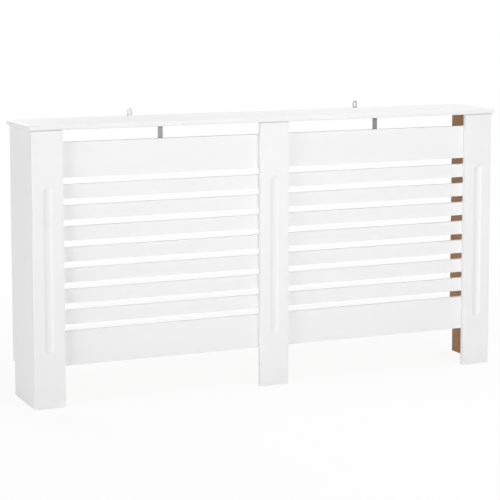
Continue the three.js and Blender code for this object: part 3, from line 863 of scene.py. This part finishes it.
def fittingRow(name, tree, sizes, slotName, ways):
    places = [driven(node, way, -sizes["Head Top"]) for node, way in ways.items()]
    made = growPiece(name, tree, places, sizes, list(ways.values()))
    settle(made, creaseDegrees=turning["creaseDegrees"])
    handIn(made, slotName, *ways)


front, up = (0.0, -1.0, 0.0), (0.0, 0.0, 1.0)
angleScrews, flushScrews, cams = {}, {}, {}
for node in sorted(nodes):
    if node.startswith(("strap_screw", "hanger_screw", "brace_screw")):
        angleScrews[node] = front if "_rail_" in node or node == "brace_screw_post" else up
    elif node.startswith("grille_screw"):
        flushScrews[node] = front
    elif node.startswith("cam_") and not node.startswith("cam_bolt"):
        cams[node] = (-1.0, 0.0, 0.0) if "left" in node else (1.0, 0.0, 0.0)
fittingRow("angleScrews", panScrewTree, panScrew, "zinc_fastener", angleScrews)
fittingRow("grilleScrews", flatScrewTree, flatScrew, "zinc_fastener", flushScrews)
fittingRow("camFittings", camTree, camFitting, "cam_alloy", cams)


# steel angles: a strip with round ends and punched holes, bent once

angleForm = {"width": 0.015, "thickness": 0.002, "bend": 0.0008, "bendSteps": 6, "endSteps": 20,
             "hole": 0.002, "holeSides": 24, "slotSteps": 12,
             "edge": 0.00025, "edgeSteps": 2, "edgeLimit": 1.0, "creaseDegrees": 40}


def legPlate(bm, length, holes, slot, lay):
    # fills one flat leg, from its bend line to its round end, leaving its holes open
    s = angleForm
    half, start = s["width"] / 2, s["bend"] + s["thickness"]
    outline = [(-half, start), (half, start)]
    for i in range(s["endSteps"] + 1):
        a = math.pi * i / s["endSteps"]
        outline.append((half * math.cos(a), length - half + half * math.sin(a)))
    loops = [outline]
    for centre in holes:
        turns = [2 * math.pi * i / s["holeSides"] for i in range(s["holeSides"])]
        loops.append([(s["hole"] * math.cos(a), centre + s["hole"] * math.sin(a)) for a in turns])
    if slot:
        reach = slot["width"] / 2
        far = length - slot["fromEnd"] - reach
        near = length - slot["fromEnd"] - slot["length"] + reach
        turns = [math.pi * i / s["slotSteps"] for i in range(s["slotSteps"] + 1)]
        loops.append([(reach * math.cos(a), far + reach * math.sin(a)) for a in turns]
                     + [(-reach * math.cos(a), near - reach * math.sin(a)) for a in turns])
    edges = []
    for loop in loops:
        row = [bm.verts.new(lay(x, along)) for x, along in loop]
        edges += [bm.edges.new((row[i - 1], row[i])) for i in range(len(row))]
    bmesh.ops.triangle_fill(bm, use_beauty=True, use_dissolve=True, edges=edges)


def anglePiece(name, node, steel, corner, turn, legs, holes, slot=None):
    s = angleForm
    outer = s["bend"] + s["thickness"]
    bm = bmesh.new()
    legPlate(bm, legs[0], holes[0], None, lambda x, along: (x, along, 0.0))
    legPlate(bm, legs[1], holes[1], slot, lambda x, along: (x, 0.0, along))
    rows = []
    for i in range(s["bendSteps"] + 1):
        a = math.pi / 2 * i / s["bendSteps"]
        y, z = outer - outer * math.sin(a), outer - outer * math.cos(a)
        rows.append([bm.verts.new((x, y, z)) for x in (-s["width"] / 2, s["width"] / 2)])
    for a, b in zip(rows, rows[1:]):
        bm.faces.new((a[0], a[1], b[1], b[0]))
    bmesh.ops.remove_doubles(bm, verts=bm.verts, dist=meshCare["mergeWithin"])
    bmesh.ops.recalc_face_normals(bm, faces=bm.faces)
    lowest = min(bm.faces, key=lambda f: f.calc_center_median().z)
    if lowest.normal.z > 0:  # the sheet's outside has to face out of the bend
        bmesh.ops.reverse_faces(bm, faces=bm.faces)
    bmesh.ops.transform(bm, matrix=Matrix.Translation(corner) @ turn, verts=bm.verts)
    mesh = bpy.data.meshes.new(name)
    bm.to_mesh(mesh)
    bm.free()
    made = newObject(name, mesh, [steel])
    wall = made.modifiers.new("wall", "SOLIDIFY")
    wall.thickness, wall.offset, wall.use_even_offset = s["thickness"], -1.0, True
    edge = made.modifiers.new("edge", "BEVEL")
    edge.width, edge.segments = s["edge"], s["edgeSteps"]
    edge.limit_method, edge.angle_limit = "ANGLE", s["edgeLimit"]
    settle(made, creaseDegrees=s["creaseDegrees"])
    handIn(made, "bare_steel", node)


strapForm = {"drop": 0.075, "reach": 0.040, "railHoles": (0.047, 0.063), "topHoles": (0.014, 0.030)}
hangerForm = {"rise": 0.040, "reach": 0.040, "topHoles": (0.014, 0.030),
              "slot": {"width": 0.006, "length": 0.014, "fromEnd": 0.005}}
braceForm = {"drop": 0.030, "reach": 0.030, "holes": (0.020,)}
downAndBack = Matrix.Rotation(-math.pi / 2, 4, "X")
halfTurn = Matrix.Rotation(math.pi, 4, "Z")
for side in ("left", "right"):
    low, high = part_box("top_strap_" + side)
    anglePiece("topStrap" + side.capitalize(), "top_strap_" + side, shadedZincStrip,
               ((low.x + high.x) / 2, low.y, high.z), downAndBack,
               (strapForm["drop"], strapForm["reach"]),
               (strapForm["railHoles"], strapForm["topHoles"]))
    low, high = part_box("wall_hanger_" + side)
    anglePiece("wallHanger" + side.capitalize(), "wall_hanger_" + side, stripSteel,
               ((low.x + high.x) / 2, high.y, low.z), halfTurn,
               (hangerForm["reach"], hangerForm["rise"]), (hangerForm["topHoles"], ()),
               hangerForm["slot"])
low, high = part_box("centre_brace")
anglePiece("centreBrace", "centre_brace", shadedZincStrip, ((low.x + high.x) / 2, low.y, high.z),
           downAndBack, (braceForm["drop"], braceForm["reach"]),
           (braceForm["holes"], braceForm["holes"]))


# fittings that stay inside the boards keep their own solids

for node, made in nodes.items():
    if "dowel" in node or node.startswith("cam_bolt"):
        made.data.materials.clear()
        made.data.materials.append(beech if "dowel" in node else screwZinc)
print("hidden fittings finished")


# studio: pale floor and backdrop, soft lamps, the photograph's camera

studio = {"floorSize": 24.0, "floorTone": (0.92, 0.92, 0.92), "floorShade": (0.89, 0.89, 0.89),
          "floorCloud": (0.6, 3.0), "floorTint": 0.1,
          "cameraWhite": 0.88, "whiteFrom": 1.0, "whiteBy": 2.4, "ambient": 0.18,
          "aim": (0, 0, 0.42),
          "lamps": {"left": {"place": (-4.2, -1.4, 1.1), "size": 1.6, "power": 64.0},
                    "front": {"place": (0.5, -3.0, 1.1), "size": 1.6, "power": 35.8},
                    "aboveFront": {"place": (0.2, -1.8, 3.2), "size": 1.8, "power": 20.0},
                    "aboveRight": {"place": (0.9, 0.5, 3.5), "size": 2.5, "power": 43.0},
                    "right": {"place": (4.2, 0.5, 1.2), "size": 2.0, "power": 42.0},
                    "back": {"place": (-0.8, 3.3, 2.3), "size": 1.8, "power": 42.0}}}


def paleFloor():
    s = studio
    material, g = newFinish("paleFloor")
    place = objectPlace(g)
    tone = g.tinted(g.noise(place, *s["floorCloud"]) * s["floorTint"], s["floorTone"],
                    s["floorShade"])
    matt = g.node("ShaderNodeBsdfDiffuse", None, {"Color": tone})
    white = g.node("ShaderNodeEmission", None, {"Color": (1, 1, 1, 1), "Strength": 1.0})
    # the object's shadow shows near it; further out the floor runs into the white backdrop
    distance = g.node("ShaderNodeVectorMath", {"operation": "LENGTH"}, {0: place}, "Value")
    further = g.ramped(distance, s["whiteFrom"], s["whiteBy"])
    whiteness = s["cameraWhite"] + further * (1 - s["cameraWhite"])
    both = g.node("ShaderNodeMixShader", None,
                  {0: g.seenDirectly() * whiteness, 1: matt, 2: white})
    g.node("ShaderNodeOutputMaterial", None, {"Surface": both})
    return material


half = studio["floorSize"] / 2
corners = [(-half, -half, 0), (half, -half, 0), (half, half, 0), (-half, half, 0)]
floorMesh = bpy.data.meshes.new("studioFloor")
floorMesh.from_pydata(corners, [], [(0, 1, 2, 3)])
floor = newObject("studioFloor", floorMesh, [paleFloor()])

scene = bpy.context.scene
scene.world = bpy.data.worlds.new("studioAir")
scene.world.use_nodes = True
air = Graph(scene.world.node_tree)
seen = air.seenDirectly()
backdrop = air.node("ShaderNodeBackground", None,
                    {"Color": (1, 1, 1, 1), "Strength": seen + (1 - seen) * studio["ambient"]})
air.node("ShaderNodeOutputWorld", None, {"Surface": backdrop})

for name, lamp in studio["lamps"].items():
    data = bpy.data.lights.new(name + "Lamp", "AREA")
    data.shape, data.size, data.energy = "SQUARE", lamp["size"], lamp["power"]
    made = bpy.data.objects.new(name + "Lamp", data)
    scene.collection.objects.link(made)
    made.location = lamp["place"]
    towards = Vector(studio["aim"]) - made.location
    made.rotation_euler = towards.to_track_quat("-Z", "Y").to_euler()
    made.visible_camera = False

photoCamera = {"place": (-2.1108, -4.7021, 1.2363), "yaw": 23.827, "pitch": 6.383,
               "focalPixels": 1704.3, "framePixels": 500, "principal": (250.0, 165.0),
               "sensor": 36.0, "clip": (0.05, 60.0)}
cameraData = bpy.data.cameras.new("photoCamera")
camera = bpy.data.objects.new("photoCamera", cameraData)
scene.collection.objects.link(camera)
camera.location = photoCamera["place"]
camera.rotation_euler = (math.radians(90 - photoCamera["pitch"]), 0,
                         math.radians(-photoCamera["yaw"]))
pixels = photoCamera["framePixels"]
cameraData.sensor_width = photoCamera["sensor"]
cameraData.lens = photoCamera["focalPixels"] * cameraData.sensor_width / pixels
cameraData.shift_x = (pixels / 2 - photoCamera["principal"][0]) / pixels
cameraData.shift_y = (photoCamera["principal"][1] - pixels / 2) / pixels
cameraData.clip_start, cameraData.clip_end = photoCamera["clip"]
scene.camera = camera
scene.view_settings.view_transform = "Standard"
print("studio ready")
